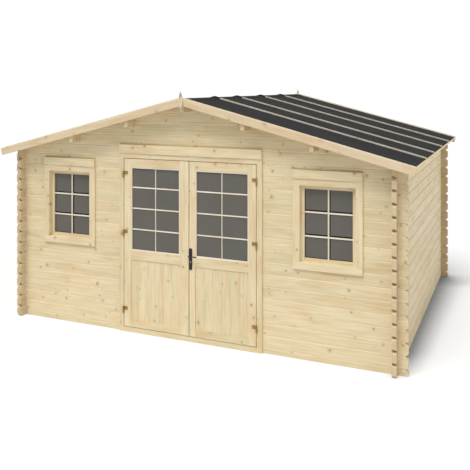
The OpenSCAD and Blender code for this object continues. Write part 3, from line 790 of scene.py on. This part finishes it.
def lock_cylinder(bm, place, radius, depth):
    """A lock cylinder that faces the front, with a rim and an upright slot for the key."""
    face_out = Matrix.Translation(place) @ Matrix.Rotation(math.radians(90), 4, "X")
    body = bmesh.ops.create_cone(
        bm, cap_ends=True, segments=24, radius1=radius, radius2=radius, depth=depth,
        matrix=Matrix.Translation((0, 0, -depth / 2)),
    )["verts"]
    front = highest_face(body)
    bmesh.ops.inset_individual(bm, faces=[front], thickness=radius * 0.2)
    bmesh.ops.translate(bm, vec=(0, 0, -radius * 0.1), verts=front.verts)
    bmesh.ops.inset_individual(bm, faces=[front], thickness=radius * 0.2)
    bmesh.ops.scale(bm, vec=(0.25, 1.0, 1.0), verts=front.verts)
    slot = bmesh.ops.extrude_discrete_faces(bm, faces=[front])["faces"][0]
    bmesh.ops.translate(bm, vec=(0, 0, -depth * 0.5), verts=slot.verts)
    bmesh.ops.transform(bm, matrix=face_out, verts=bm.verts)


def fit_piece(name, bm, body, material, stands_for=()):
    """Turns the modelled faces into a piece that moves with a body."""
    bmesh.ops.recalc_face_normals(bm, faces=bm.faces)
    mesh = bpy.data.meshes.new(name)
    bm.to_mesh(mesh)
    bm.free()
    mesh.materials.append(material)
    piece = bpy.data.objects.new(name, mesh)
    scene.collection.objects.link(piece)
    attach(piece, body)
    if stands_for:
        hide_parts(*stands_for)


def glazing_bars(name, body, pane_name, levels, bar, mullion, depth, bead_depth=None):
    """Bars on both faces of a pane, two panes wide, and a bead round it where asked."""
    low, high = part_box(pane_name)
    half = mullion / 2
    edge = BEAD if bead_depth else 0.0
    middle = (low.x + high.x) / 2
    bm = bmesh.new()
    for glass_y, out in ((low.y, -1), (high.y, 1)):
        face_y = glass_y + out * depth
        front, back = min(glass_y, face_y), max(glass_y, face_y)
        foot, head = low.z + edge, high.z - edge
        eased = on_face(1, face_y)
        block(bm, (middle - half, front, foot), (middle + half, back, head), BAR_EASE, eased)
        for share in levels:
            level = low.z + (high.z - low.z) * share
            under, over = level - bar / 2, level + bar / 2
            for start, end in ((low.x + edge, middle - half), (middle + half, high.x - edge)):
                block(bm, (start, front, under), (end, back, over), BAR_EASE, eased)
        if bead_depth:
            rim(bm, low, high, BEAD, glass_y, glass_y + out * bead_depth)
    fit_piece(name, bm, body, bar_wood)


def panel_boards(name, body, node):
    """Upright boards with V joints in a leaf's lower field."""
    low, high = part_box(node)
    bm = bmesh.new()
    for number in range(PANEL_BOARDS):
        start = low.x + number * PANEL_BOARD
        end = start + PANEL_BOARD
        block(bm, (start, low.y, low.z), (end, high.y, high.z), PANEL_EASE, runs_along(2))
    fit_piece(name, bm, body, panel_wood, (node,))


def roof_planks(name, node, side):
    """Boards from the ridge to the eave, with V joints underneath and plumb ends."""
    low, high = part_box(node)
    run = high.x - low.x
    thick = high.z - low.z - run * SLOPE
    bm = bmesh.new()
    for number in range(ROOF_BOARDS):
        start = low.y + number * ROOF_BOARD
        block(bm, (0, start, -thick), (run, start + ROOF_BOARD, 0), ROOF_EASE, on_face(2, -thick))
    inner = low.x if side > 0 else high.x
    lean = Matrix(((side, 0, 0, inner), (0, 1, 0, 0), (-SLOPE, 0, 1, high.z), (0, 0, 0, 1)))
    bmesh.ops.transform(bm, matrix=lean, verts=bm.verts)
    fit_piece(name, bm, "cabin", roof_wood, (node,))


def floor_planks():
    """Floor boards with eased edges."""
    low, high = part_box("floor_boards")
    bm = bmesh.new()
    for number in range(FLOOR_BOARDS):
        start = low.y + number * FLOOR_BOARD
        end = start + FLOOR_BOARD
        block(bm, (low.x, start, low.z), (high.x, end, high.z), FLOOR_EASE, on_face(2, high.z))
    fit_piece("floor_planks", bm, "cabin", floor_wood, ("floor_boards",))


def hinge_screws(name, body, side):
    """Two screws through each hinge arm."""
    bm = bmesh.new()
    for level in HINGE_LEVELS:
        for x in HINGE_SCREWS_X:
            screw(bm, (side * x, HINGE_FRONT, level), (0, -1, 0), SCREW_R)
    fit_piece(name, bm, body, brass)


def plate_hardware():
    """Two screws at the ends of each handle plate, and the lock cylinder under the outer lever."""
    low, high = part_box("handle_plates")
    middle = (low.x + high.x) / 2
    inset = (high.x - low.x) / 2
    bm = bmesh.new()
    for level in (low.z + inset, high.z - inset):
        screw(bm, (middle, low.y, level), (0, -1, 0), SCREW_R)
        screw(bm, (middle, high.y, level), (0, 1, 0), SCREW_R)
    fit_piece("plate_screws", bm, "right_leaf", black_metal)
    bm = bmesh.new()
    keyhole = (low.z + high.z) / 2 - KEYHOLE_DROP
    lock_cylinder(bm, (middle, low.y - LOCK_PROUD, keyhole), LOCK_R, LOCK_DEPTH)
    fit_piece("lock_cylinder", bm, "right_leaf", lock_metal)


def batten_nails(name, node, side):
    """Nails down the middle of each batten."""
    low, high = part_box(node)
    bm = bmesh.new()
    up = Vector((side * math.sin(PITCH), 0, math.cos(PITCH)))
    for y in BATTENS:
        for number in range(NAILS):
            along = FIRST_NAIL + number * NAIL_STEP
            top = high.z - (along - min(abs(low.x), abs(high.x))) * SLOPE
            screw(bm, (side * along, y, top), up, NAIL_R)
    fit_piece(name, bm, "cabin", nail_metal)


LEAF_BARS = (LEAF_LEVELS, LEAF_BAR, LEAF_MULLION, LEAF_BAR_DEPTH, BEAD_DEPTH)
WINDOW_BARS = (WINDOW_LEVELS, WINDOW_BAR, WINDOW_BAR, WINDOW_BAR_DEPTH)
for side, sign in (("left", -1), ("right", 1)):
    glazing_bars(f"{side}_leaf_bars", f"{side}_leaf", f"{side}_leaf_pane", *LEAF_BARS)
    glazing_bars(f"{side}_window_bars", "cabin", f"{side}_window_pane", *WINDOW_BARS)
    panel_boards(f"{side}_panel_boards", f"{side}_leaf", f"{side}_leaf_panel")
    roof_planks(f"{side}_roof_planks", f"{side}_roof_boards", sign)
    hinge_screws(f"{side}_hinge_screws", f"{side}_leaf", sign)
    batten_nails(f"{side}_batten_nails", f"{side}_battens", sign)
floor_planks()
plate_hardware()


# Studio: floor, light and camera

def make_floor():
    """A pale floor just under the cabin, with a painted shadow along the right wall that widens to the rear.
    """
    size, drop = 60.0, 0.0005
    bm = bmesh.new()
    bmesh.ops.create_grid(bm, x_segments=1, y_segments=1, size=size)
    bmesh.ops.translate(bm, vec=(0, 0, -drop), verts=bm.verts)
    mesh = bpy.data.meshes.new("floor")
    bm.to_mesh(mesh)
    bm.free()
    floor = bpy.data.objects.new("floor", mesh)
    scene.collection.objects.link(floor)
    material, g, shader, _ = new_material("floor", {"Roughness": 0.9, "Specular IOR Level": 0.0})
    (x, y, _), _ = g.place()
    # Painted shadow: ambient occlusion, used only beside the right wall and behind it, darkens the floor's
    # colour and its glow
    along_wall = g.fade(y, -WALL_Y, WALL_Y, 0.34, 0.52)
    past_wall = g.fade(y, WALL_Y - 0.6, WALL_Y + 0.4, 0.0, 0.75)
    reach = g.math("ADD", along_wall, past_wall)
    open_share = g.node("AmbientOcclusion", {"Distance": reach}, samples=12).outputs["AO"]
    shade = g.node("MapRange", (open_share, 0.5, 0.90, 0.17, 1.0)).outputs[0]
    behind = g.math("SUBTRACT", g.math("ADD", y, WALL_Y + 0.08), g.math("SUBTRACT", x, WALL_X + 0.10))
    beside = g.math("MULTIPLY", g.fade(x, WALL_X - 0.15, WALL_X), g.fade(behind, -0.05, 0.75))
    shade = g.blend(beside, 1.0, shade)
    seen = g.node("LightPath").outputs["Is Camera Ray"]
    bounce = g.math("MULTIPLY_ADD", shade, 0.4, 0.4)
    grey = g.blend(seen, bounce, g.math("MULTIPLY", shade, 0.98))
    g.fill(shader.inputs["Base Color"], g.combine(grey, grey, grey))
    glow = g.node("Emission", {"Color": (1.0, 1.0, 1.0, 1.0), "Strength": shade})
    surface = g.node("MixShader", (g.math("MULTIPLY", seen, 0.65), shader.outputs[0], glow.outputs[0]))
    g.fill(material.node_tree.nodes["Material Output"].inputs["Surface"], surface.outputs[0])
    mesh.materials.append(material)


def make_world(strength):
    """Even white light, and plain white where the camera, glass or metal looks past the floor."""
    world = bpy.data.worlds.new("studio")
    scene.world = world
    world.use_nodes = True
    g = Graph(world.node_tree)
    path = g.node("LightPath").outputs
    in_gloss_or_glass = g.math("MAXIMUM", path["Is Glossy Ray"], path["Is Transmission Ray"])
    seen = g.math("MAXIMUM", path["Is Camera Ray"], in_gloss_or_glass)
    background = world.node_tree.nodes["Background"]
    background.inputs["Color"].default_value = (1, 1, 1, 1)
    g.fill(background.inputs["Strength"], g.blend(seen, strength, 1.0))


def sun(name, azimuth, elevation, white, spread, tint=(1.0, 1.0, 1.0)):
    """A soft sun; white is the grey that it alone gives a white face turned to it."""
    data = bpy.data.lights.new(name, "SUN")
    data.energy = white * math.pi
    data.angle = math.radians(spread)
    data.color = tint
    lamp = bpy.data.objects.new(name, data)
    scene.collection.objects.link(lamp)
    turn, lift = math.radians(azimuth), math.radians(elevation)
    towards = Vector((math.sin(turn) * math.cos(lift), -math.cos(turn) * math.cos(lift), math.sin(lift)))
    lamp.rotation_euler = towards.to_track_quat("Z", "Y").to_euler()


def make_camera():
    """A level camera a little above the ridge, which looks at the front from its right."""
    # The picture's width, the focal length and the horizon's height in it are in pixels
    image = 470
    focal = 675.42
    horizon = 85.67
    stand = (3.1646, -7.9833, 2.6288)
    turn = math.radians(23.015)
    data = bpy.data.cameras.new("camera")
    data.sensor_width = 36.0
    data.lens = focal / image * data.sensor_width
    data.shift_y = (horizon - image / 2) / image
    camera = bpy.data.objects.new("camera", data)
    scene.collection.objects.link(camera)
    camera.location = stand
    camera.rotation_euler = (math.radians(90), 0, turn)
    scene.camera = camera


make_floor()
make_world(0.37)
sun("key light", -16, 61, 0.745, 30)
sun("fill light", 84, 2, 0.475, 50, (0.94, 0.97, 1.0))
make_camera()
